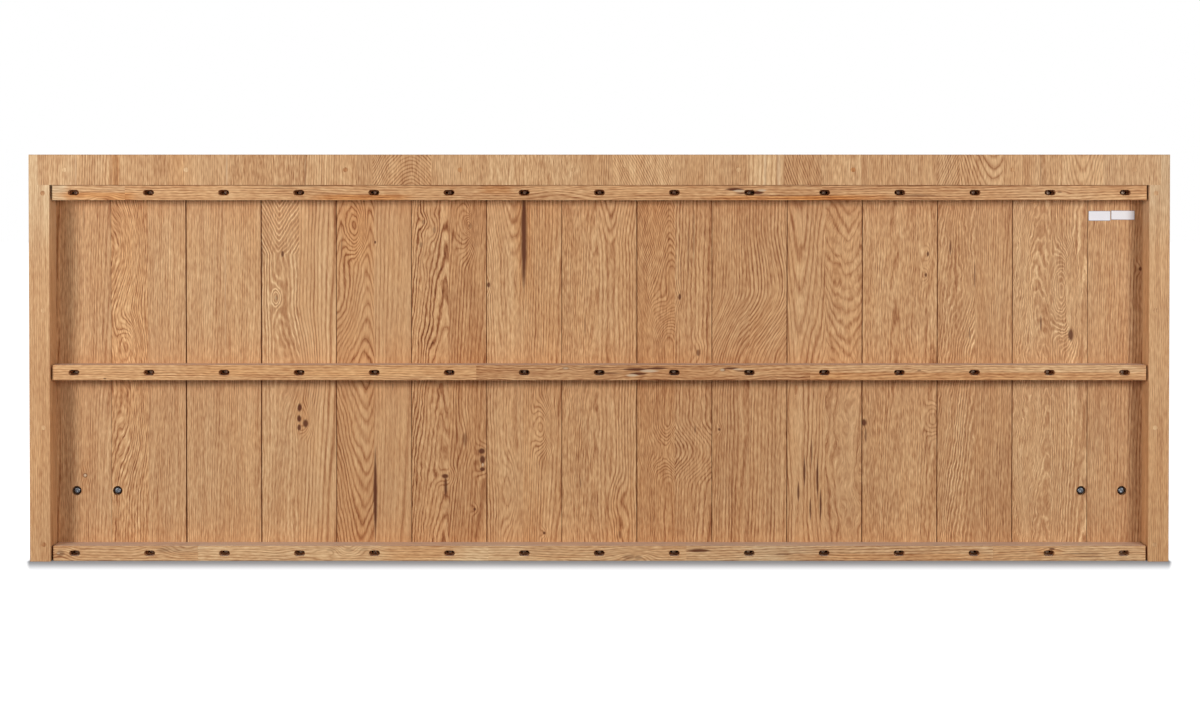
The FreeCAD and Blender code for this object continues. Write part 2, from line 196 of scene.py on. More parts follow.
def cleared(holder):
    """The graph of a material or a world, emptied."""
    holder.use_nodes = True
    holder.node_tree.nodes.clear()
    return Graph(holder.node_tree)


def new_material(name):
    material = bpy.data.materials.new(name)
    return material, cleared(material)


def seen_directly(graph):
    """1 for rays from the camera, a mirror or glass, and 0 for those that carry light."""
    path = graph.node("LightPath")
    names = "Is Camera Ray", "Is Glossy Ray", "Is Transmission Ray"
    camera, glossy, transmission = (graph.out(path, name) for name in names)
    return graph.math("MAXIMUM", graph.math("MAXIMUM", camera, glossy), transmission)


def make_camera():
    data = bpy.data.cameras.new("photo_camera")
    data.lens = LENS
    data.shift_y = VIEW_SHIFT
    camera = link("photo_camera", data)
    camera.location = VIEW_FROM
    camera.rotation_euler = (math.pi / 2 - VIEW_TILT, 0.0, 0.0)
    bpy.context.scene.camera = camera


def make_floor():
    half = FLOOR_SIZE / 2
    corners = [(x * half, y * half, -FLOOR_DROP) for x, y in ((-1, -1), (1, -1), (1, 1), (-1, 1))]
    mesh = bpy.data.meshes.new("floor")
    mesh.from_pydata(corners, [], [(0, 1, 2, 3)])
    floor = link("floor", mesh)
    material, graph = new_material("floor")
    place = graph.node("SeparateXYZ", {0: graph.object_place()})
    beside, before = (abs(graph.out(place, axis)) - cad_box[1][axis] for axis in (0, 1))
    before = graph.math("MAXIMUM", before, 0.0)
    beside = graph.math("MAXIMUM", beside + before * SHADOW_TAPER, 0.0) * SIDE_SHARPNESS
    away = graph.distance(beside, before)
    # Low glow near the foot leaves the floor grey there: a painted contact shadow.
    glow = graph.smooth(away, 0.0, SHADOW_WIDTH, GLOW_AT_FOOT, GLOW_NEAR)
    glow = glow + graph.smooth(away, SHADOW_WIDTH, NEAR_REACH, 0.0, GLOW_FAR - GLOW_NEAR)
    paper = graph.node("BsdfDiffuse", {"Color": FLOOR_COLOUR})
    light = graph.node("Emission", {"Strength": seen_directly(graph) * glow})
    both = graph.node("AddShader", {0: graph.out(paper), 1: graph.out(light)})
    graph.node("OutputMaterial", {0: graph.out(both)})
    mesh.materials.append(material)


def make_world():
    world = bpy.data.worlds.new("studio")
    graph = cleared(world)
    strength = seen_directly(graph) * (1.0 - WORLD_STRENGTH) + WORLD_STRENGTH
    sky = graph.node("Background", {0: (1.0, 1.0, 1.0, 1.0), 1: strength})
    graph.node("OutputWorld", {0: graph.out(sky)})
    bpy.context.scene.world = world


def make_lamps():
    for name, place, width, height, power in LAMPS:
        data = bpy.data.lights.new(name, "AREA")
        data.shape = "RECTANGLE"
        data.size = width
        data.size_y = height
        data.energy = power
        lamp = link(name, data)
        lamp.location = place
        lamp.rotation_euler = (LAMP_TARGET - lamp.location).to_track_quat("-Z", "Y").to_euler()


# The materials. The oak's middle tone, and how fast its red, green and blue sink where it is
# darker: darker oak is also redder. WARMTH is what redness adds to each of them.

OAK = (0.615, 0.334, 0.158)
DEPTH = (1.0, 1.5, 1.8)
WARMTH = (0.35, -0.35, -1.2)
OAK_ROUGHNESS = (0.58, 0.05)
OAK_SPECULAR = 0.16
KNOT = (0.125, 0.036, 0.014, 1.0)
SPLINTER = (0.70, 0.50, 0.32, 1.0)

# Painted sheen on the faces that look up: a pale grey that stands in for light glancing off them.
# How steep they may be, and how much it covers and varies.
TOP_SHEEN = (0.66, 0.54, 0.47, 1.0)
TOP_SHEEN_SLOPE = (0.75, 0.95)
TOP_SHEEN_SHARE = 0.62
TOP_SHEEN_VARIES = 0.3

# Painted shade inside the planks' joints and bores, where the recesses lie in shadow: a near-black
# brown laid between two depths. It begins within the given edge distance of a face.
INNER_SHADE = (0.13, 0.045, 0.018, 1.0)
INNER_SHADE_DEPTHS = (7.6, 26.9)
INNER_SHADE_SHARE = 0.62
INNER_SHADE_EDGE = 0.9
INNER_SHADE_SKIN = 0.2

# How far the dark of a joint creeps onto the planks' faces, and where it is full.
STAIN_WIDTH = 2.0
STAIN_CORE = 0.3

# End grain is darker. The pair says how squarely a face has to look along the grain.
END_GRAIN = (0.6, 0.9)
END_GRAIN_DARK = 0.22

# The planks' spacing, half the headboard's width, and half its height, from which grain leans.
PLANK_PITCH = 140.0
HALF_WIDTH = 1050.0
HALF_HEIGHT = 375.0

# How large the parts of the grain are, across the grain, through the board and along the grain.
DRIFT_SIZE = (75.0, 90.0, 330.0)
WAVE_SIZE = (24.0, 40.0, 75.0)
RIPPLE_SIZE = (8.0, 12.0, 17.0)
FIBRE_SIZE = (2.6, 2.6, 120.0)
BAND_SIZE = (15.0, 15.0, 420.0)
STROKE_SIZE = (2.0, 2.0, 14.0)
CLOUD_SIZE = (38.0, 38.0, 110.0)

# The bends also move the tree's heart in depth, and the fibres follow them.
SINK = 0.6
FIBRE_BEND = 0.9

# A ring's line is a squared wave, about this middle. By chance a ring is weaker or stronger, and
# lighter or darker.
LINE_MIDDLE = 0.38
RING_LEAST = 0.45
RING_MORE = 0.9
RING_TONES = 0.30
RING_CLOUDS = (0.85, 0.35)
FAINT_REACH = 60.0
FAINT_SHARE = 0.45

# How much each part shades the wood, and how far it stands out.
CONTRAST = 0.50
FIBRE_SHADE = 0.75
BAND_SHADE = 0.20
CLOUD_SHADE = 0.12
CLOUD_WARMTH = 0.04
RING_HEIGHT = 0.5
FIBRE_HEIGHT = 0.4
STROKE_HEIGHT = 0.4
OAK_BUMP = (0.5, 0.22 * MM)

# Marks have ragged edges. The pairs are where they begin and are full, in halves of their size.
# Rings go round a knot up to KNOT_REACH.
KNOT_EDGE = (1.25, 0.55)
KNOT_RAGGED = 0.12
KNOT_REACH = 5.0
STREAK_EDGE = (1.2, 0.3)
STREAK_RAGGED = 0.10

# How the growth rings lie in a stave, in millimetres: how far to the side of the stave's middle and
# behind its face the tree's heart is, how much the tree narrows upwards, the rings' spacing, the
# lean of the grain, and how far it drifts, waves and ripples. Then how strongly rings, fibres and
# strokes show, the height where the narrowing turns round, how far from there it begins, the
# height under which the rings are faint, and how much lighter and redder the stave is. Negative
# rings are dark lines on paler wood.
CALM = dict(
    side=52, deep=30, taper=0.02, gap=3.4, lean=0, drift=4, wave=0.9, ripple=0.3,
    rings=-0.5, fibres=0.62, strokes=0.6, turn=0, above=0, faint=-500, tone=0, red=0,
)
STRAIGHT = dict(CALM, side=42, gap=4.6, drift=5, wave=1.4, rings=-0.85)
FINE = dict(CALM, side=30, gap=2.6, drift=5, wave=1.6, ripple=0.7, rings=-0.6, strokes=0.75)
ARCHED = dict(
    CALM, side=2, deep=4, taper=0.28, gap=3.6, drift=7, wave=2.2, ripple=0.6, rings=-1.15,
    fibres=0.5,
)
ROUGH = dict(ARCHED, side=24, deep=8, taper=0.1, gap=4.6, drift=12, wave=4.5, ripple=1.7)

# How far apart in the noise a board's staves lie, so that no two are alike.
STAVE_SHIFTS = (37, 48, 59, 70, 81)


def stave(figure, tone=0, red=0, **changes):
    """One strip of a glued board, with what sets it apart from its figure."""
    return dict(figure, tone=tone, red=red, **changes)


def placed(kind, across, along, half_across, half_along, **more):
    """A mark: its place across the board and along it, and half its size both ways."""
    return dict(kind=kind, place=(across, along), half=(half_across, half_along), **more)


def knot(across, along, half_across, half_along, push=6.0, dark=0.9):
    """A dark knot that pushes the rings aside. push is negative where they close in."""
    return placed("knot", across, along, half_across, half_along, push=push, dark=dark)


def swirl(across, along, half_across, half_along, push):
    """A place that the rings go round, with no knot in it."""
    return knot(across, along, half_across, half_along, push, 0.0)


def shove(across, along, half_across, half_along, push):
    """A stretch where the grain bulges, to the right when push is negative."""
    return placed("shove", across, along, half_across, half_along, push=push)


def sweep(high, low, push):
    """Grain that moves to the left between two heights, and stays there below them."""
    return placed("sweep", 0.0, high, 1.0, high - low, push=push)


def streak(across, along, half_across, half_along, dark=0.8, pale=False):
    """A long mark with pointed ends along the grain."""
    return placed("streak", across, along, half_across, half_along, dark=dark, pale=pale)


def patch(across, along, half_across, half_along, tone, red=0.0, soft=0.15):
    """A stretch of wood that is lighter or redder than the rest."""
    return placed("patch", across, along, half_across, half_along, tone=tone, red=red, soft=soft)


def lower_part(across, half_across):
    """The lower part of a plank's stave, a little darker."""
    return patch(across, 150, half_across, 170, -0.03, 0.0, 0.3)


class Board:
    """A board of oak glued from staves, as the nodes that say what is at each place on it.

    axes names the world's axes across the grain, through the board and along the grain. seams are
    the places of the glue lines, across the grain or, where seams_along is true, along it. Places
    across the grain count from across_from, and edges are the board's own. seed moves the noise.
    """

    def __init__(
        self, graph, staves, seams=(), axes="XYZ", across_from=0, edges=(0, PLANK_PITCH),
        seams_along=False, seed=0,
    ):
        self.graph = graph
        self.staves = staves
        self.edges = edges
        where = graph.node("SeparateXYZ", {0: graph.object_place()})
        normal = graph.node("SeparateXYZ", {0: graph.out(graph.node("NewGeometry"), "Normal")})
        across, self.depth, self.along = (
            graph.out(where, "XYZ".index(axis)) * PER_METRE for axis in axes
        )
        self.across = across - across_from
        self.end_grain = abs(graph.out(normal, "XYZ".index(axes[2])))
        self.upward = graph.out(normal, 2)
        seamed = self.along if seams_along else self.across
        self.steps = [graph.math("GREATER_THAN", seamed, seam) for seam in seams]
        self.shift = seed
        for number, step in enumerate(self.steps):
            self.shift = step * STAVE_SHIFTS[number % len(STAVE_SHIFTS)] + self.shift
        middle = self.stave_middle(() if seams_along else seams)
        lean = (self.along - HALF_HEIGHT) * self.by_stave("lean")
        self.side = self.across - middle - self.by_stave("side") + lean

        # The grain's bends: broad drift, then waves, then ripples.
        drift = self.noise(DRIFT_SIZE)
        self.wave = self.noise(WAVE_SIZE)
        self.ripple = self.noise(RIPPLE_SIZE, detail=2.0)
        reaches = [self.by_stave(key) for key in ("drift", "wave", "ripple")]
        self.bend, self.sink = (
            drift[way] * reaches[0] + self.wave[way] * reaches[1] + self.ripple[way] * reaches[2]
            for way in (0, 1)
        )
        self.dark = self.pale = self.swell = self.lighter = self.redder = None

    def stave_middle(self, seams):
        """The middle of the stave that a place is in."""
        places = [self.edges[0], *seams, self.edges[1]]
        middle = (places[0] + places[1]) / 2
        if seams:
            for number, step in enumerate(self.steps):
                middle = step * ((places[number + 2] - places[number]) / 2) + middle
        return middle

    def by_stave(self, key):
        """A value of the stave that a place is in."""
        value = self.staves[0][key]
        for step, left, right in zip(self.steps, self.staves, self.staves[1:]):
            if right[key] != left[key]:
                value = step * (right[key] - left[key]) + value
        return value

    def noise(self, size, across=None, detail=1.0, roughness=0.5):
        across = self.across if across is None else across
        wide, deep, long = size
        place = self.graph.vector(across / wide + self.shift, self.depth / deep, self.along / long)
        return self.graph.noise(place, detail, roughness)

    def add_mark(self, mark):
        (x, z), (w, h) = mark["place"], mark["half"]
        add = getattr(self, "add_" + mark["kind"])
        add(mark, (self.across - x) / w, (self.along - z) / h)

    def strongest(self, found, value):
        return value if found is None else self.graph.math("MAXIMUM", found, value)

    def total(self, found, value):
        return value if found is None else found + value

    def add_knot(self, mark, dx, dz):
        distance = self.graph.distance(dx, dz) + self.ripple[2] * KNOT_RAGGED
        if mark["push"]:
            swell = self.graph.smooth(distance, KNOT_REACH, 0.0, 0.0, mark["push"])
            self.swell = self.total(self.swell, swell)
        if mark["dark"]:
            dark = self.graph.smooth(distance, *KNOT_EDGE, 0.0, mark["dark"])
            self.dark = self.strongest(self.dark, dark)

    def add_shove(self, mark, dx, dz):
        push = self.graph.smooth(self.graph.distance(dx, dz), 1.0, 0.0, 0.0, mark["push"])
        self.bend = self.bend + push

    def add_sweep(self, mark, dx, dz):
        self.bend = self.bend + self.graph.smooth(dz, 0.0, -1.0, 0.0, mark["push"])

    def add_patch(self, mark, dx, dz):
        edge = 1.0 + mark["soft"], 1.0 - mark["soft"]
        inside = self.graph.smooth(abs(dx), *edge) * self.graph.smooth(abs(dz), *edge)
        self.lighter = self.total(self.lighter, inside * mark["tone"])
        self.redder = self.total(self.redder, inside * mark["red"])

    def add_streak(self, mark, dx, dz):
        ragged = (self.ripple[2] + self.wave[2]) * STREAK_RAGGED
        distance = abs(dx) + dz * dz + ragged
        inside = self.graph.smooth(distance, *STREAK_EDGE, 0.0, mark["dark"])
        if mark["pale"]:
            self.pale = self.strongest(self.pale, inside)
        else:
            self.dark = self.strongest(self.dark, inside)

    def ring(self):
        """How light the growth ring at a place is."""
        graph = self.graph
        bent = self.side + self.bend
        below = self.depth + self.by_stave("deep") + self.sink * SINK
        from_turn = abs(self.along - self.by_stave("turn"))
        climb = graph.math("MAXIMUM", from_turn, self.by_stave("above"))
        radius = graph.distance(bent, below) + climb * self.by_stave("taper")
        rings = self.total(self.swell, radius) / self.by_stave("gap")
        number = graph.math("FLOOR", rings) + self.shift
        lot = graph.out(graph.node("TexWhiteNoise", {"W": number}, noise_dimensions="1D"), "Value")
        line = graph.math("COSINE", rings * (2 * math.pi)) * 0.5 + 0.5
        strength = lot * RING_MORE + RING_LEAST
        return (line * line - LINE_MIDDLE) * strength + (lot - 0.5) * RING_TONES

    def draw_grain(self):
        """Rings, fibres, bands, strokes and clouds, once all marks are in."""
        bent = self.across + self.bend * FIBRE_BEND
        self.fibre = self.noise(FIBRE_SIZE, bent, 2.0, 0.65)
        band = self.noise(BAND_SIZE, bent)
        wide, deep, long = STROKE_SIZE
        place = self.graph.vector(bent / wide, self.depth / deep, self.along / long + self.shift)
        stroke = self.graph.noise(place)
        self.cloud = self.noise(CLOUD_SIZE, detail=2.0)
        plain, varied = RING_CLOUDS
        relief = self.ring() * self.by_stave("rings") * (self.cloud[2] * varied + plain)
        if any(one["faint"] > 0.0 for one in self.staves):
            low, high = (self.by_stave("faint") + reach for reach in (-FAINT_REACH, FAINT_REACH))
            relief = relief * self.graph.smooth(self.along, low, high, FAINT_SHARE, 1.0)
        shade = relief + self.fibre[0] * self.by_stave("fibres") * FIBRE_SHADE
        shade = shade + band[0] * BAND_SHADE + stroke[0] * self.by_stave("strokes")
        self.shade = shade + self.cloud[0] * CLOUD_SHADE
        height = relief * RING_HEIGHT + self.fibre[0] * FIBRE_HEIGHT
        self.height = height + stroke[0] * STROKE_HEIGHT

    def wood_colour(self, stained):
        """The wood with its joint stains and patches, before dust, raw wood and dark marks."""
        graph = self.graph
        end_dark = graph.smooth(self.end_grain, *END_GRAIN, 0.0, END_GRAIN_DARK)
        light = self.shade * CONTRAST + self.by_stave("tone") + 1.0 - end_dark
        if any(stained):
            full = STAIN_WIDTH * STAIN_CORE
            end = self.edges[1]
            light = light - graph.smooth(self.across, STAIN_WIDTH, full, 0, stained[0])
            light = light - graph.smooth(self.across, end - STAIN_WIDTH, end - full, 0, stained[1])
        warm = self.cloud[1] * CLOUD_WARMTH + self.by_stave("red")
        if self.lighter:
            light = light + self.lighter
            warm = warm + self.redder
        shaded = graph.vector(*(graph.math("POWER", light, depth) for depth in DEPTH))
        tint = graph.vector(*(warm * share + 1.0 for share in WARMTH))
        tinted = graph.node("VectorMath", {0: tint, 1: OAK}, operation="MULTIPLY")
        entries = {0: graph.out(tinted), 1: shaded}
        return graph.out(graph.node("VectorMath", entries, operation="MULTIPLY"))

    def inner_shade(self, plain_edges):
        """How much painted shade lies inside the board, but not on its ends or its plain outer
        edges.
        """
        graph = self.graph
        start, end = INNER_SHADE_DEPTHS
        inner = graph.smooth(self.depth, start, start + INNER_SHADE_EDGE)
        inner = inner * graph.smooth(self.depth, end, end - INNER_SHADE_EDGE, 0.0, INNER_SHADE_SHARE)
        from_middle = abs(self.along - HALF_HEIGHT)
        inner = inner * graph.smooth(from_middle, HALF_HEIGHT - INNER_SHADE_SKIN, HALF_HEIGHT - INNER_SHADE_EDGE)
        for edge in plain_edges:
            inner = inner * graph.smooth(abs(self.across - edge), INNER_SHADE_SKIN, INNER_SHADE_EDGE)
        return inner


def oak(name, staves, marks, painted_sheen=False, plain_edges=None, stained=(0, 0), **layout):
    """The material of an oak board. Board explains its layout.

    The sheen switch paints a grey sheen on faces that look up. plain_edges are a plank's edges
    without a joint.
    Other pieces leave it out and have no painted shade inside. stained says how dark the joints
    are.
    """
    material, graph = new_material(name)
    board = Board(graph, staves, **layout)
    for mark in marks:
        board.add_mark(mark)
    board.draw_grain()
    colour = board.wood_colour(stained)
    # Painted sheen: faces that look up get a pale grey, as if lit at a glancing angle.
    if painted_sheen:
        sheen_cover = graph.smooth(board.upward, *TOP_SHEEN_SLOPE, 0.0, TOP_SHEEN_SHARE)
        varied = board.fibre[1] * TOP_SHEEN_VARIES + board.cloud[2] * TOP_SHEEN_VARIES + 1.0
        colour = graph.mix(sheen_cover * varied, colour, TOP_SHEEN)
    # Painted shade in the joints and bores, where the real shade of the recesses falls.
    if plain_edges is not None:
        colour = graph.mix(board.inner_shade(plain_edges), colour, INNER_SHADE)
    if board.dark:
        colour = graph.mix(board.dark, colour, KNOT)
    if board.pale:
        colour = graph.mix(board.pale, colour, SPLINTER)
    rough, varies = OAK_ROUGHNESS
    roughness = board.fibre[2] * varies + rough
    fixed = {"Specular IOR Level": OAK_SPECULAR}
    graph.surface(colour, roughness, board.height, OAK_BUMP, fixed)
    return material


# Plated steel: its two colours and its roughness. The wood screws look brown in their slots.
SCREW_STEEL = ((0.48, 0.37, 0.28), (0.68, 0.55, 0.42), 0.62)
BOLT_STEEL = ((0.10, 0.105, 0.115), (0.165, 0.175, 0.19), 0.32)
STEEL_PATCHES = 260.0
STEEL_GRIT = 1900.0
GRIT_SHARE = 0.4
STEEL_RANGE = (-0.8, 0.9)
STEEL_VARIES = 0.08
STEEL_BUMP = (0.25, 0.08 * MM)

# The two colours of the stickers' paper and of their dark edge, a painted shade at the rim.
STICKER_PAPER = ((0.94, 0.94, 0.97), (0.90, 0.90, 0.94))
STICKER_EDGE_SHADE = ((0.24, 0.24, 0.29), (0.19, 0.19, 0.23))
PAPER_MOTTLE = 700.0
PAPER_RANGE = (-0.9, 0.9)
PAPER_ROUGHNESS = (0.5, 0.06)
PAPER_BUMP = (0.15, 0.05 * MM)


def steel(name, dark, bright, roughness):
    """Plated steel with cloudy dull patches and fine scratches."""
    material, graph = new_material(name)
    patches = graph.object_noise(STEEL_PATCHES, 3.0)
    grit = graph.object_noise(STEEL_GRIT, 2.0)
    share = graph.smooth(patches[0] + grit[0] * GRIT_SHARE, *STEEL_RANGE)
    colour = graph.mix(share, (*dark, 1.0), (*bright, 1.0))
    roughness = patches[1] * STEEL_VARIES + roughness
    graph.surface(colour, roughness, grit[1], STEEL_BUMP, {"Metallic": 1.0})
    return material


def paper(name, colour, darker):
    """Label paper: flat, faintly mottled."""
    material, graph = new_material(name)
    mottle = graph.object_noise(PAPER_MOTTLE, 2.0)
    share = graph.smooth(mottle[0], *PAPER_RANGE)
    mixed = graph.mix(share, (*colour, 1.0), (*darker, 1.0))
    rough, varies = PAPER_ROUGHNESS
    graph.surface(mixed, mottle[2] * varies + rough, mottle[1], PAPER_BUMP)
    return material


def dress(node, material):
    """Gives a CAD node its material."""
    for place in nodes[node].material_slots:
        place.material = material


# Pieces that are finer than the CAD's.

BATTEN_BEVEL = 1.0 * MM
SLOT_COUNT = 15
SLOT_INSET = 40.0 * MM
COUNTERBORE = (20.0 * MM, 10.0 * MM, 23.0 * MM)
SLOT = (14.5 * MM, 4.5 * MM)
SLOT_EASE = 0.5 * MM
ROUND_SIDES = 14
OVERRUN = 1.0 * MM
WELD = 0.01 * MM
SHARP_EDGE = math.radians(35.0)

# Turned shapes: pairs of radius and distance back from the front, in millimetres.
SMALLEST_RADIUS = 0.02
TURNED_SIDES = 32
SCREW_HEAD = (
    (0, 0), (1.6, 0.08), (2.7, 0.38), (3.5, 0.95), (3.9, 1.7), (4, 2.4), (4, 3), (1.95, 3),
)
BOLT_HEAD = (
    (0, 0), (3, 0), (3.6, 0.12), (4.8, 0.75), (5.8, 1.6), (6.5, 2.5), (6.9, 3.3), (7, 3.9),
    (6.9, 4.4), (4, 4.4),
)

# The screws' pointed tip and cross recess, and how they are turned, in degrees for each metre.
SCREW_TIP = 4.0 * MM
SCREW_POINT = 0.12
CROSS = (4.4 * MM, 1.0 * MM, 1.7 * MM)
CROSS_FOOT = 0.55
SCREW_TURNS = 7919.0

SOCKET_FLATS = 5.0 * MM
SOCKET_DEPTH = 2.8 * MM
SOCKET_CHAMFER = (0.4 * MM, 0.35 * MM)
SOCKET_CONE = (0.3 * MM, 0.6 * MM)
THREAD_START = 27.5 * MM
THREAD_CREST = 3.9 * MM
THREAD_ROOT = 3.3 * MM
THREAD_NECK = 0.1 * MM
THREAD_END = 0.3 * MM
THREAD_PITCH = 1.25 * MM
BOLT_SIDES = 48
THREAD_STEPS = 6

PLUG_RADIUS = 4.33 * MM
PLUG_SUNK = 0.1 * MM
PLUG_EASE = 0.15 * MM

STICKER_THICK = 0.12 * MM
STICKER_CORNER = 0.8 * MM
STICKER_EDGE = 0.7 * MM
CORNER_STEPS = 4
STICKERS = (
    # name, lower left corner, width, height, tilt in degrees
    ("sticker_a", (911.3, 627.6), 41.0, 18.5, 0.0),
    ("sticker_b", (953.4, 629.4), 44.0, 17.3, 0.4),
)


def solid_boxes(node):
    """The box of each separate solid of a CAD node, from left to right and upwards."""
    shape = bmesh.new()
    shape.from_mesh(nodes[node].data)
    bmesh.ops.remove_doubles(shape, verts=shape.verts, dist=WELD)
    left = set(shape.verts)
    boxes = []
    while left:
        group, front = set(), [left.pop()]
        while front:
            point = front.pop()
            group.add(point)
            for edge in point.link_edges:
                other = edge.other_vert(point)
                if other in left:
                    left.remove(other)
                    front.append(other)
        boxes.append([
            Vector([pick(point.co[axis] for point in group) for axis in range(3)])
            for pick in (min, max)
        ])
    shape.free()
    return sorted(boxes, key=lambda box: (round(box[0].x, 3), box[0].z))


def new_object(name, shape):
    """An object from a bmesh, which it frees."""
    mesh = bpy.data.meshes.new(name)
    bmesh.ops.recalc_face_normals(shape, faces=shape.faces)
    shape.to_mesh(mesh)
    shape.free()
    return link(name, mesh)


def finish_piece(made, slot, replaced, *materials):
    """Gives a new piece its materials, and says what it replaces and rides on."""
    for material in materials:
        made.data.materials.append(material)
    if replaced:
        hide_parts(replaced)
    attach(made, "root")


def cut(made, cutter):
    """Takes the cutter's shape out of a piece and removes the cutter."""
    modifier = made.modifiers.new("cut", "BOOLEAN")
    modifier.operation = "DIFFERENCE"
    modifier.solver = "EXACT"
    modifier.object = cutter
    seen = made.evaluated_get(bpy.context.evaluated_depsgraph_get())
    result = bpy.data.meshes.new_from_object(seen)
    made.modifiers.clear()
    made.data = result
    bpy.data.objects.remove(cutter)


def slot_outline(length, width, deep, middle):
    """A slot with round ends, at a depth behind its middle at the front."""
    points = []
    for end, start in ((1, -90.0), (-1, 90.0)):
        for step in range(ROUND_SIDES + 1):
            angle = math.radians(start + 180.0 * step / ROUND_SIDES)
            x = end * (length - width) / 2 + width / 2 * math.cos(angle)
            z = width / 2 * math.sin(angle)
            points.append((middle[0] + x, middle[1] + deep, middle[2] + z))
    return points


def add_loft(shape, sections):
    """Joins outlines of equal length, each a list of points, into a closed solid."""
    loops = [[shape.verts.new(point) for point in section] for section in sections]
    for first, second in zip(loops, loops[1:]):
        for number in range(len(first)):
            after = (number + 1) % len(first)
            shape.faces.new((first[number], first[after], second[after], second[number]))
    shape.faces.new(loops[0][::-1])
    shape.faces.new(loops[-1])


def make_batten(level, material):
    """A batten with eased edges and a row of counterbored slots."""
    node = f"{level}_batten"
    low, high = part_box(node)
    size, centre = high - low, (low + high) / 2
    shape = bmesh.new()
    bmesh.ops.create_cube(shape, size=1.0)
    place = Matrix.Translation(centre) @ Matrix.Diagonal((*size, 1.0))
    bmesh.ops.transform(shape, matrix=place, verts=shape.verts)
    bmesh.ops.bevel(
        shape, geom=shape.edges, offset=BATTEN_BEVEL, segments=3, profile=0.5, affect="EDGES"
    )
    made = new_object(f"{level}_batten_wood", shape)
    pitch = (size.x - 2 * SLOT_INSET) / (SLOT_COUNT - 1)
    middles = [low.x + SLOT_INSET + pitch * number for number in range(SLOT_COUNT)]
    length, width, depth = COUNTERBORE
    cuts = (
        # length and width, then the sections: how much wider than that, and how deep
        (length, width, ((2 * (SLOT_EASE + OVERRUN), -OVERRUN), (0.0, SLOT_EASE), (0.0, depth))),
        (*SLOT, ((0.0, depth - OVERRUN), (0.0, size.y + OVERRUN))),
    )
    for long, wide, levels in cuts:
        cutter = bmesh.new()
        for middle in middles:
            place = middle, low.y, centre.z
            add_loft(cutter, [
                slot_outline(long + more, wide + more, deep, place) for more, deep in levels
            ])
        cut(made, new_object("cutter", cutter))
    finish_piece(made, "oak_batten", node, material)


def circle(radius, back, middle, sides):
    """A loop of points round a line that runs along Y."""
    angles = [2 * math.pi * step / sides for step in range(sides)]
    return [
        (middle[0] + radius * math.cos(angle), back, middle[1] + radius * math.sin(angle))
        for angle in angles
    ]


def turn(profile, middle, front, sides=TURNED_SIDES):
    """The loops of a turned shape. profile gives radius and distance back from the front."""
    return [circle(radius, front + back, middle, sides) for radius, back in profile]


def in_metres(profile):
    return [(max(radius, SMALLEST_RADIUS) * MM, back * MM) for radius, back in profile]


def middle_of(low, high):
    """A box's middle, seen from behind."""
    return (low.x + high.x) / 2, (low.z + high.z) / 2


def smooth_sides(made):
    """Shades the turned faces smoothly and keeps the edges that are really sharp."""
    made.data.polygons.foreach_set("use_smooth", [True] * len(made.data.polygons))
    made.data.set_sharp_from_angle(angle=SHARP_EDGE)


def make_screws(node, material):
    """Pan head screws with a cross recess, one for each that the CAD node holds."""
    boxes = solid_boxes(node)
    low, high = boxes[0]
    length = high.y - low.y
    profile = in_metres(SCREW_HEAD)
    shank = profile[-1][0]
    profile += [(shank, length - SCREW_TIP), (shank * SCREW_POINT, length)]
    pattern = bmesh.new()
    add_loft(pattern, turn(profile, (0.0, 0.0), 0.0))
    made = new_object(node + "_steel", pattern)
    long, wide, deep = CROSS
    for x, z in ((long, wide), (wide, long)):
        cutter = bmesh.new()
        sections = [
            [
                (sx * x / 2 * share, back, sz * z / 2 * share)
                for sx, sz in ((-1, -1), (1, -1), (1, 1), (-1, 1))
            ]
            for share, back in ((1.0, -OVERRUN), (1.0, 0.0), (CROSS_FOOT, deep))
        ]
        add_loft(cutter, sections)
        cut(made, new_object("cutter", cutter))
    first = made.data
    shape = bmesh.new()
    for low, high in boxes:
        copy = first.copy()
        spin = Matrix.Rotation(math.radians((low.x * SCREW_TURNS) % 90.0), 4, "Y")
        x, z = middle_of(low, high)
        copy.transform(Matrix.Translation((x, low.y, z)) @ spin)
        shape.from_mesh(copy)
        bpy.data.meshes.remove(copy)
    bpy.data.objects.remove(made)
    bpy.data.meshes.remove(first)
    made = new_object(node + "_steel", shape)
    smooth_sides(made)
    finish_piece(made, "screw_steel", node, material)


def thread_point(middle, share, back, end):
    """A point of a bolt's thread, at a share of a turn and a distance back from its start."""
    phase = (back / THREAD_PITCH - share) % 1.0
    radius = THREAD_ROOT + (THREAD_CREST - THREAD_ROOT) * (1.0 - abs(2.0 * phase - 1.0))
    radius = min(radius, THREAD_ROOT - THREAD_END + (end - THREAD_START - back))
    angle = 2 * math.pi * share
    x, z = middle
    return x + radius * math.cos(angle), THREAD_START + back, z + radius * math.sin(angle)


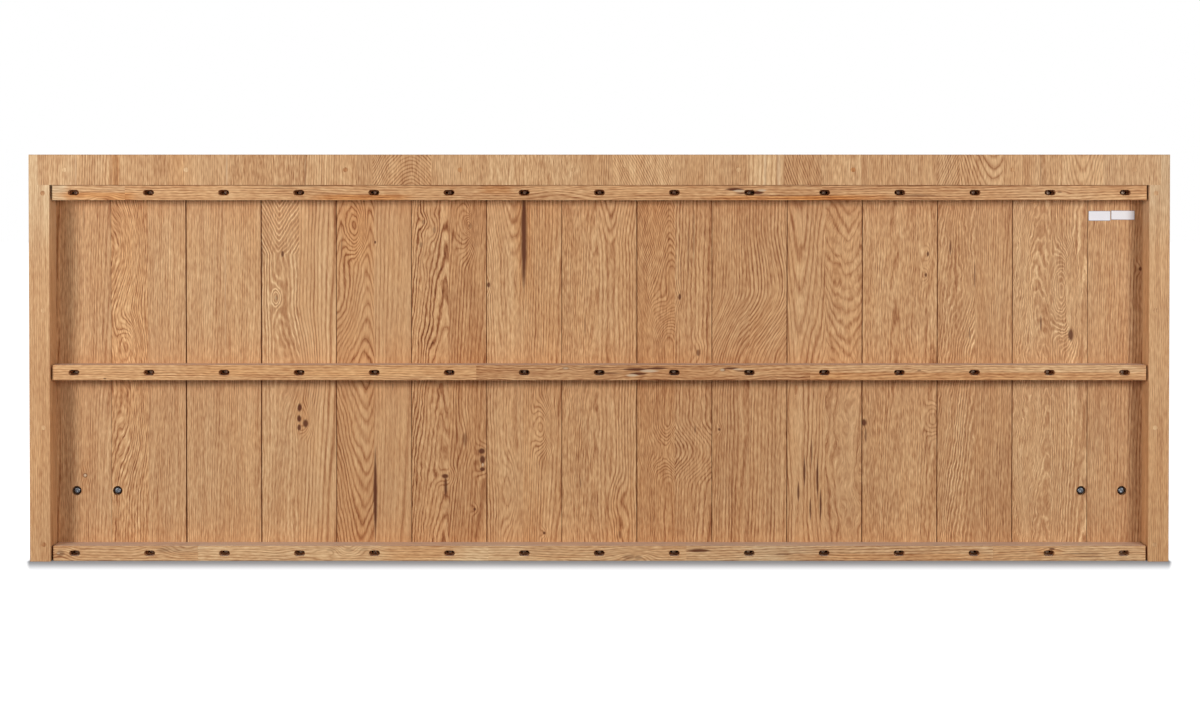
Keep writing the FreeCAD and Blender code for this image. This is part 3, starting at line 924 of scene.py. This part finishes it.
def make_bolts(node, material):
    """Button head bolts with a hexagon socket and a threaded end."""
    shape = bmesh.new()
    cutter = bmesh.new()
    corner = SOCKET_FLATS / math.sqrt(3.0)
    socket = (
        (corner + SOCKET_CHAMFER[0] + OVERRUN, -OVERRUN), (corner, SOCKET_CHAMFER[1]),
        (corner, SOCKET_DEPTH), (SOCKET_CONE[0], SOCKET_DEPTH + SOCKET_CONE[1]),
    )
    for low, high in solid_boxes(node):
        middle = middle_of(low, high)
        loops = turn(in_metres(BOLT_HEAD), middle, low.y, BOLT_SIDES)
        loops.append(circle(THREAD_CREST + THREAD_NECK, THREAD_START, middle, BOLT_SIDES))
        rows = int((high.y - THREAD_START) / THREAD_PITCH * THREAD_STEPS)
        for row in range(rows + 1):
            back = (high.y - THREAD_START) * row / rows
            shares = [step / BOLT_SIDES for step in range(BOLT_SIDES)]
            loops.append([thread_point(middle, share, back, high.y) for share in shares])
        add_loft(shape, loops)
        add_loft(cutter, turn(socket, middle, low.y, 6))
    made = new_object(node + "_steel", shape)
    cut(made, new_object("cutter", cutter))
    smooth_sides(made)
    finish_piece(made, "bolt_steel", node, material)


def make_plugs(node, material):
    """Round wood plugs with an eased edge, sunk a little."""
    shape = bmesh.new()
    for low, high in solid_boxes(node):
        profile = (
            (PLUG_RADIUS - PLUG_EASE, PLUG_SUNK), (PLUG_RADIUS, PLUG_SUNK + PLUG_EASE),
            (PLUG_RADIUS, high.y - low.y),
        )
        add_loft(shape, turn(profile, middle_of(low, high), low.y))
    made = new_object(node + "_wood", shape)
    smooth_sides(made)
    finish_piece(made, "oak_plug", node, material)


def rounded(width, height, corner):
    """The outline of a rectangle with round corners."""
    points = []
    for cx, cz, start in ((1, -1, -90.0), (1, 1, 0.0), (-1, 1, 90.0), (-1, -1, 180.0)):
        for step in range(CORNER_STEPS + 1):
            angle = math.radians(start + 90.0 * step / CORNER_STEPS)
            x = cx * (width / 2 - corner) + corner * math.cos(angle)
            z = cz * (height / 2 - corner) + corner * math.sin(angle)
            points.append((x, z))
    return points


def make_sticker(name, corner, width, height, tilt, blank, edge_shade):
    """A thin blank sticker with a narrow dark border of painted shade, on the back of the planks.
    """
    width, height = width * MM, height * MM
    middle = Vector((corner[0] * MM + width / 2, 0.0, corner[1] * MM + height / 2))
    turned = Matrix.Translation(middle) @ Matrix.Rotation(math.radians(tilt), 4, "Y")
    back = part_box("plank_15")[0].y
    loops = []
    front = back - STICKER_THICK
    for inset, level in ((0.0, back), (0.0, front), (STICKER_EDGE, front)):
        outline = rounded(width - 2 * inset, height - 2 * inset, STICKER_CORNER)
        loops.append([turned @ Vector((x, level, z)) for x, z in outline])
    shape = bmesh.new()
    add_loft(shape, loops)
    made = new_object(name, shape)
    finish_piece(made, "oak_plank", None, blank, edge_shade)
    # The first two rows of faces are the rim and the border, which get the painted edge shade.
    for face in made.data.polygons[:2 * len(loops[0])]:
        face.material_index = 1


# What each piece of wood shows.

# For each plank, from the left, the glue line between its two staves, in millimetres from the
# plank's left edge, the two staves, and then its marks. Heights are above the floor.
PLANKS = (
    (45, stave(STRAIGHT, -0.08, 0.06, rings=-1.1), stave(CALM, 0.02),
     streak(89.8, 634, 1.8, 36, 0.4), knot(90.5, 152.6, 4.5, 4.5, 4, 0.8),
     streak(90.5, 152.6, 3.2, 3.2, 1, True), patch(89, 150, 9, 30, -0.1, 0.05, 0.7)),
    (69, stave(STRAIGHT, 0, 0.05, side=46, deep=14, rings=-1.1, wave=3, ripple=1, strokes=0.9),
     stave(CALM, 0.03, fibres=0.7, ripple=0.6),
     shove(20, 572, 62, 130, -30), swirl(34, 398, 6, 14, 26), shove(35, 290, 75, 190, -32),
     lower_part(69, 90), patch(30, 500, 34, 220, 0, 0.03, 0.4)),
    (71, stave(CALM, 0.05), stave(CALM, 0.03, 0.02, rings=-0.6),
     streak(73, 500, 1.5, 160, 0.25, True), lower_part(30, 36)),
    (71, stave(ARCHED, 0.08, taper=-0.57, gap=6.2, rings=1.4, side=1, deep=-6, ripple=1.1,
               above=565, faint=370),
     stave(STRAIGHT, 0.06, 0.02, rings=-1.15, gap=5.6, strokes=0.4),
     knot(39.6, 565.9, 2.6, 6, 4), knot(28.2, 484, 2.5, 5, 14, 0.5), swirl(30, 484, 4, 12, 14),
     streak(2.4, 562, 2.2, 36, 0.5), knot(70.9, 279.2, 4.4, 8, 4, 1), knot(70, 258.7, 4.2, 7, 4, 1),
     knot(82, 249.4, 5, 8, 4, 0.95), knot(70, 242, 3.8, 6, 4, 0.95),
     patch(75, 262, 13, 36, -0.07, 0.05, 0.6), swirl(84, 256, 4, 9, 18),
     shove(75, 350, 60, 130, -22)),
    (70, stave(ARCHED, -0.05, 0.07, side=17, deep=6, taper=0.24, gap=7, drift=12, wave=4,
               ripple=1.4, rings=-1.25, fibres=0.4, strokes=0.4, turn=360),
     stave(STRAIGHT, 0.02, 0.03, rings=-0.6, gap=6.5, strokes=0.4),
     knot(72.4, 587.7, 2, 3, 3), streak(72, 116, 4.6, 92, 1), streak(104.7, 318.3, 1.5, 9, 0.5),
     swirl(36, 612, 6, 15, 46), patch(36, 600, 30, 60, -0.03, 0.06, 0.5),
     streak(10, 578, 1.6, 26, 0.5), shove(20, 470, 60, 120, -26)),
    (69, stave(ROUGH, -0.04, 0.05, rings=-1.35, gap=5.4), stave(STRAIGHT, -0.09, 0.06, lean=-0.03),
     knot(22.9, 625.5, 3, 5, 8, 0.5), knot(42.6, 610.6, 3, 7, 8, 0.45),
     knot(18, 582.6, 3, 6, 6, 0.5), knot(109.7, 618, 3, 6, 26, 0.35), swirl(103, 622, 6, 18, 34),
     knot(62.4, 151, 6.5, 4.5, 10, 0.95), streak(63.4, 132, 3.6, 24, 0.95),
     knot(99.3, 219.7, 5, 13, 8, 0.45), knot(131, 198, 6.5, 5.5, 8, 0.95),
     knot(132, 182, 5, 8, 6, 0.95), streak(132.6, 172.2, 2.5, 4, 0.9, True),
     knot(132, 164, 5, 4, 6, 0.95), knot(117.3, 89.3, 2.5, 3),
     patch(110, 120, 30, 110, -0.06, 0, 0.4), lower_part(34, 34),
     patch(110, 400, 34, 60, -0.06, 0.02, 0.5)),
    (68, stave(ARCHED, 0.07, 0.03, taper=-0.16, gap=4.6, side=17, rings=-0.9, above=560),
     stave(STRAIGHT, 0.01, 0.06, gap=3.8),
     streak(69.5, 599, 7.4, 112, 0.97), patch(69, 605, 14, 100, -0.12, 0.1, 0.7),
     knot(3.7, 508.2, 3, 5), swirl(106, 242, 6, 14, 26), swirl(45, 120, 5, 22, 20),
     knot(107.3, 44.7, 2.5, 3)),
    (69, stave(FINE, 0.01, 0.04),
     stave(ARCHED, 0.06, 0.04, taper=-0.16, deep=2, gap=5.4, side=-14, rings=-1, above=585),
     streak(43.5, 431.9, 1.7, 26, 0.5), streak(35, 137.7, 1.5, 12, 0.6),
     knot(108.8, 41, 4, 8, 8, 0.4), patch(108, 70, 26, 60, -0.05, 0.05, 0.6),
     swirl(104, 100, 5, 14, 14), lower_part(105, 34)),
    (71, stave(ARCHED, -0.06, 0.08, taper=0.25, deep=7, gap=2.8, rings=-0.8, side=23, above=400),
     stave(STRAIGHT, -0.06, 0.04, ripple=1.3, gap=5, rings=-1),
     knot(79.8, 485.8, 2.8, 6), knot(114.5, 381.6, 4, 7, 8, 0.7), swirl(102, 196, 24, 13, 27),
     swirl(57.7, 480, 6, 14, 14), streak(108.8, 238.3, 1.8, 9, 0.7), streak(106, 600, 3, 70, 0.35),
     streak(96, 570, 2.4, 60, 0.35), patch(74, 560, 4, 120, 0.1, 0, 0.5)),
    (70, stave(STRAIGHT, -0.06, 0.03, gap=4.4, rings=-0.7, side=90),
     stave(STRAIGHT, -0.05, 0.03, rings=-0.9, gap=5.4, side=105),
     knot(14, 238.3, 2.5, 3), shove(120, 500, 110, 130, -16), sweep(500, 350, 52)),
    (71, stave(ARCHED, 0.03, 0.03, taper=-0.1, deep=8, gap=6.5, rings=-0.85, side=-14, drift=14,
               strokes=0.5, above=330),
     stave(ARCHED, 0.02, 0.05, taper=-0.55, gap=13, deep=9, ripple=2.2, wave=11, rings=-0.65,
           side=8, above=330),
     streak(32.7, 160, 2.6, 34, 0.95), streak(57, 148, 2.4, 44, 0.97),
     streak(63, 96, 2.4, 36, 0.97), streak(21.5, 122, 2.6, 22, 0.9), streak(44, 90, 2.4, 24, 0.85),
     streak(46, 196, 2, 30, 0.7), patch(105, 150, 32, 160, -0.06, -0.04, 0.3)),
    (69, stave(FINE, 0, 0.03), stave(FINE, 0.05, 0.03),
     knot(122.3, 565.9, 2.5, 5), knot(118.5, 526.8, 2.5, 4), knot(3.7, 251.3, 5, 7, 8, 0.95),
     streak(7, 228, 2.4, 16, 0.7), swirl(133.5, 256.9, 5, 9, 12), lower_part(34, 34)),
    (70, stave(ROUGH, -0.03, 0.02, rings=1, side=38, ripple=1.9, wave=3),
     stave(CALM, -0.04, 0.02, rings=-0.6),
     streak(24.2, 577.1, 2.4, 16, 0.7), streak(60.4, 418.8, 2, 14, 0.6),
     streak(69.7, 526.8, 1.8, 30, 0.7), swirl(54.8, 490, 8, 22, 16), lower_part(105, 34)),
    (71, stave(ROUGH, 0.09, ripple=2.4, rings=0.9, gap=3.4),
     stave(STRAIGHT, 0.05, gap=3.4, rings=1, ripple=1.5, side=30),
     streak(53.3, 437.5, 2.4, 16, 0.7), knot(109, 415.1, 5, 12, 10), swirl(96, 495, 7, 24, 44)),
    (76, stave(CALM), stave(STRAIGHT, -0.09, -0.04, side=50, rings=-1),
     knot(98.1, 538, 3, 4)),
)

# How dark the joints are, from the headboard's left edge to its right.
JOINT_STAINS = (
    0, 0, 0.55, 0.5, 0.25, 0.2, 0.22, 0.2, 0.3, 0.1, 0.3, 0.35, 0.3, 0.28, 0.05, 0,
)

# The rail's staves from the left: each one's right edge, from the headboard's middle, and its
# figure. Then the rail's marks.
RAIL_STAVES = (
    (-966, stave(CALM, 0.07, -0.03)), (-897, stave(STRAIGHT, 0.06)), (-790, stave(CALM)),
    (-681, stave(CALM, 0.06)), (-541, stave(FINE)), (-445, stave(STRAIGHT, 0.09)),
    (-417, stave(CALM)), (-309, stave(ARCHED, -0.03, 0.02, taper=0.5, side=14, rings=-0.9)),
    (-238, stave(CALM, 0.07)), (-137, stave(FINE, 0.1)),
    (-32, stave(FINE, 0.12, lean=0.12, ripple=1.3, wave=2.4, rings=0.8)), (25, stave(CALM)),
    (134, stave(STRAIGHT, 0.08, lean=0.5)), (203, stave(CALM, 0.05)), (271, stave(CALM, 0.01)),
    (341, stave(STRAIGHT, 0.15, rings=-1.1, gap=8)), (409, stave(STRAIGHT, -0.13, lean=0.35)),
    (481, stave(FINE, 0.08)), (547, stave(CALM, -0.04)), (621, stave(CALM)),
    (663, stave(STRAIGHT, -0.08, lean=-0.45)), (742, stave(ARCHED, -0.02, taper=-0.16, side=20)),
    (812, stave(CALM)), (852, stave(FINE)),
    (927, stave(ARCHED, 0.11, taper=-0.15, deep=2, rings=-0.8)), (1033, stave(CALM, 0.05, -0.05)),
)
RAIL_MARKS = (
    patch(0, 722, 1100, 60, 0.02), streak(-541, 722, 1.2, 60, 0.6), streak(812, 722, 0.9, 60, 0.5),
    streak(-889, 722, 4, 80, 0.25), patch(-889, 722, 6, 60, -0.06, 0.14, 0.5),
    patch(-778, 722, 15, 40, -0.1, 0.04, 0.2), streak(-685, 722, 1.5, 70, 0.5, True),
    streak(-963, 722, 2, 70, 0.4, True), streak(305, 722, 3, 70, 0.35, True),
    streak(330, 722, 4, 70, 0.35, True),
)

# For each batten where its lengths are finger-jointed, from the headboard's middle, the lengths,
# and the marks, whose first place is the height above the batten's lower edge.
BATTENS = {
    "top": (
        (-874, 410),
        (stave(STRAIGHT, 0.13), stave(STRAIGHT, 0.05, 0.05), stave(STRAIGHT, -0.02, 0.06)),
        (patch(14, -1000, 20, 18, 0.12, -0.16, 0.5), patch(7, -930, 7, 70, -0.16, 0.24, 0.3),
         patch(2, -960, 3, 45, 0.16, -0.1, 0.4), shove(6, -915, 16, 40, -9),
         patch(5, -440, 5, 80, -0.14, 0.24, 0.4), streak(26, -560, 2, 70, 0.4),
         streak(22, -600, 1.4, 60, 0.3), patch(20, -190, 7, 26, -0.16, 0.1, 0.5),
         patch(14, -170, 20, 70, -0.1, 0, 0.5), patch(14, -640, 20, 90, 0.08, 0, 0.6),
         swirl(15, -80, 5, 18, 10), patch(24, -100, 6, 60, 0.06, 0, 0.5),
         streak(20, 249, 3.6, 19, 1), streak(17, 258, 2.6, 14, 1, True),
         streak(13, 264, 2, 14, 0.9), streak(14, 292, 4.2, 14, 1),
         streak(18, 300, 2.4, 10, 1, True), patch(4, 350, 4, 130, -0.12, 0.22, 0.4),
         streak(9, 360, 2.5, 100, 0.35), patch(5, 450, 5, 90, -0.08, 0.12, 0.4),
         streak(9, 585, 3, 44, 0.5), knot(15, 848, 1.5, 5, 5, 0.6),
         patch(14, 10, 20, 70, 0.06, 0, 0.6), patch(14, 830, 20, 70, 0.08, -0.03, 0.6)),
    ),
    "middle": (
        (-227, 389),
        (stave(STRAIGHT, 0.1, 0.07), stave(STRAIGHT, -0.06, 0.05, drift=9, wave=3, ripple=1),
         stave(STRAIGHT, 0.04, 0.05)),
        (patch(18, -500, 10, 260, -0.06, 0.05, 0.4), patch(14, 950, 20, 160, 0.08, -0.04, 0.4),
         patch(14, 160, 20, 90, -0.06, 0.02, 0.5), knot(22, -62, 3, 7, 6, 0.5),
         streak(22, -62, 2, 6, 0.8, True), streak(24, -10, 2, 40, 0.5),
         streak(13, 14, 2.5, 34, 0.6), streak(20, 66, 3.4, 27, 1), streak(12, 72, 3.4, 19, 1),
         streak(9, 60, 2.8, 14, 1, True), streak(17, 92, 3, 20, 1, True),
         streak(22, 106, 2.6, 23, 1), knot(19, 228, 3, 5, 6, 0.8),
         streak(19, 227, 2.6, 5, 0.95, True), streak(22, 243, 2.6, 16, 0.95),
         streak(20, 256, 1.8, 12, 0.9, True), streak(17, 266, 2, 18, 0.85),
         patch(6, 700, 8, 312, -0.1, 0.1, 0.1), patch(21, 700, 7, 312, 0.06, -0.02, 0.1),
         knot(18, 590, 2, 4, 4, 0.5), knot(3, -912, 1.5, 3, 3, 0.8)),
    ),
    "bottom": (
        (-741, -205, 161, 727),
        (stave(STRAIGHT, 0.13, 0.02), stave(STRAIGHT, 0.21, -0.02), stave(STRAIGHT, 0.13),
         stave(STRAIGHT, 0.14, -0.03), stave(STRAIGHT, 0.1, 0.02)),
        (patch(14, -960, 20, 130, -0.07, 0, 0.7), patch(14, 950, 20, 140, 0.1, -0.04, 0.4),
         patch(14, -190, 20, 60, 0.08, -0.04, 0.5), patch(14, -335, 20, 60, -0.05, 0.1, 0.6),
         patch(14, 330, 20, 60, 0.03, -0.1, 0.6), patch(22, -770, 6, 34, -0.08, -0.1, 0.5),
         knot(14, -995, 6, 8, 10, 0.55), streak(14, -999, 1.6, 4, 0.8, True),
         knot(20, -806, 4, 12, 12, 0.3), knot(19, -780, 3, 10, -10, 0.15),
         knot(20, -495, 3, 9, 12, 0.2), knot(20, -462, 3, 8, -12, 0.2),
         knot(21, -435, 3, 9, 12, 0.25), swirl(19, -535, 5, 14, 8), knot(7, 55, 5, 12, 8, 0.35),
         knot(6, 72, 4, 8, 8, 0.4), streak(19, 184, 3.6, 26, 0.95), streak(12, 340, 2.4, 20, 0.5),
         patch(6, 530, 7, 190, -0.14, 0.1, 0.1), knot(22, 836, 2, 6, 6, 0.8),
         patch(17, 830, 6, 22, -0.12, 0.12, 0.5), streak(14, 895, 1.6, 42, 0.6),
         streak(8, 905, 1.6, 36, 0.5)),
    ),
}

# The stiles' tones, and what each one shows. Each stile is lighter and paler near its top, a
# painted sheen, and darker and redder near its foot.
STILES = (
    ("left", 0.08,
     (patch(19, 720, 60, 110, 0.2, -0.1, 0.8), patch(19, 100, 60, 300, -0.04, 0.04, 0.8))),
    ("right", 0.09,
     (patch(19, 720, 60, 90, 0.05, -0.14, 0.8), patch(19, 100, 60, 260, -0.03, 0.05, 0.8))),
)

# Each plug by its place from the headboard's middle and its height, with its tone and redness.
PLUGS = {
    "rail_plugs": (
        (-984, 722, 0.42, -0.02), (-760, 722, 0.4, -0.04), (-467, 722, -0.16, 0.1),
        (-256, 722, -0.14, 0.14), (-47, 722, 0.08, 0), (47, 722, 0, 0), (256, 722, 0.2, 0),
        (467, 722, -0.18, 0.2), (760, 722, -0.06, 0.05), (984, 722, 0.02, 0),
    ),
    "left_stile_plugs": (
        (-1024, 679, -0.12, 0), (-1024, 463, 0.2, 0), (-1024, 247, 0.16, 0), (-1024, 31, -0.2, 0.1),
    ),
    "right_stile_plugs": (
        (1024, 679, 0.1, 0), (1024, 463, 0, 0), (1024, 247, 0.34, 0), (1024, 31, -0.02, 0),
    ),
}
PLUG_REACH = 8.0

# Where each kind of piece lies in the noise, and how far apart its pieces are.
SEEDS = {
    "plank": (0, 23), "stile": (400, 31), "rail": (500, 0), "plug": (600, 17), "batten": (700, 41),
}
STILE_WIDTH = 38.0
BATTEN_WIDTH = 28.0


def seed_of(kind, number=0):
    first, step = SEEDS[kind]
    return first + step * number


def dress_wood():
    """The wood of the planks, the rail and the stiles, which keep the CAD's shape."""
    for number, (seam, left, right, *marks) in enumerate(PLANKS, start=1):
        name = f"plank_{number:02d}"
        dress(name, oak(
            name, (left, right), marks, stained=JOINT_STAINS[number - 1:number + 1],
            plain_edges={1: (0,), len(PLANKS): (PLANK_PITCH,)}.get(number, ()), seams=(seam,),
            across_from=PLANK_PITCH * (number - 1) - HALF_WIDTH, seed=seed_of("plank", number),
        ))
    edges, figures = zip(*RAIL_STAVES)
    dress("top_rail", oak(
        "top_rail", figures, RAIL_MARKS, seams=edges[:-1], edges=(-HALF_WIDTH, HALF_WIDTH),
        seed=seed_of("rail"),
    ))
    for number, (side, tone, marks) in enumerate(STILES):
        name = f"{side}_stile"
        dress(name, oak(
            name, (stave(CALM, tone, fibres=0.45, strokes=0.45),), marks,
            across_from=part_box(name)[0].x / MM, edges=(0, STILE_WIDTH),
            seed=seed_of("stile", number),
        ))


def make_pieces():
    """The pieces that are finer than the CAD's, and the stickers."""
    for number, (level, (joints, lengths, marks)) in enumerate(BATTENS.items()):
        name = f"{level}_batten"
        make_batten(level, oak(
            name, lengths, marks, painted_sheen=True, seams=joints, seams_along=True, axes="ZYX",
            across_from=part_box(name)[0].z / MM, edges=(0, BATTEN_WIDTH),
            seed=seed_of("batten", number),
        ))
    screw_steel = steel("screw_steel", *SCREW_STEEL)
    bolt_steel = steel("bolt_steel", *BOLT_STEEL)
    for node in nodes:
        if node.endswith("_screws"):
            make_screws(node, screw_steel)
        elif node.endswith("_bolts"):
            make_bolts(node, bolt_steel)
    for number, (node, plugs) in enumerate(PLUGS.items()):
        marks = [patch(x, z, PLUG_REACH, PLUG_REACH, tone, red) for x, z, tone, red in plugs]
        make_plugs(node, oak(node, (stave(CALM),), marks, seed=seed_of("plug", number)))
    blank = paper("sticker_paper", *STICKER_PAPER)
    edge_shade = paper("sticker_edge_shade", *STICKER_EDGE_SHADE)
    for row in STICKERS:
        make_sticker(*row, blank, edge_shade)


bpy.context.scene.view_settings.view_transform = "Standard"
make_camera()
make_floor()
make_world()
make_lamps()
dress_wood()
make_pieces()
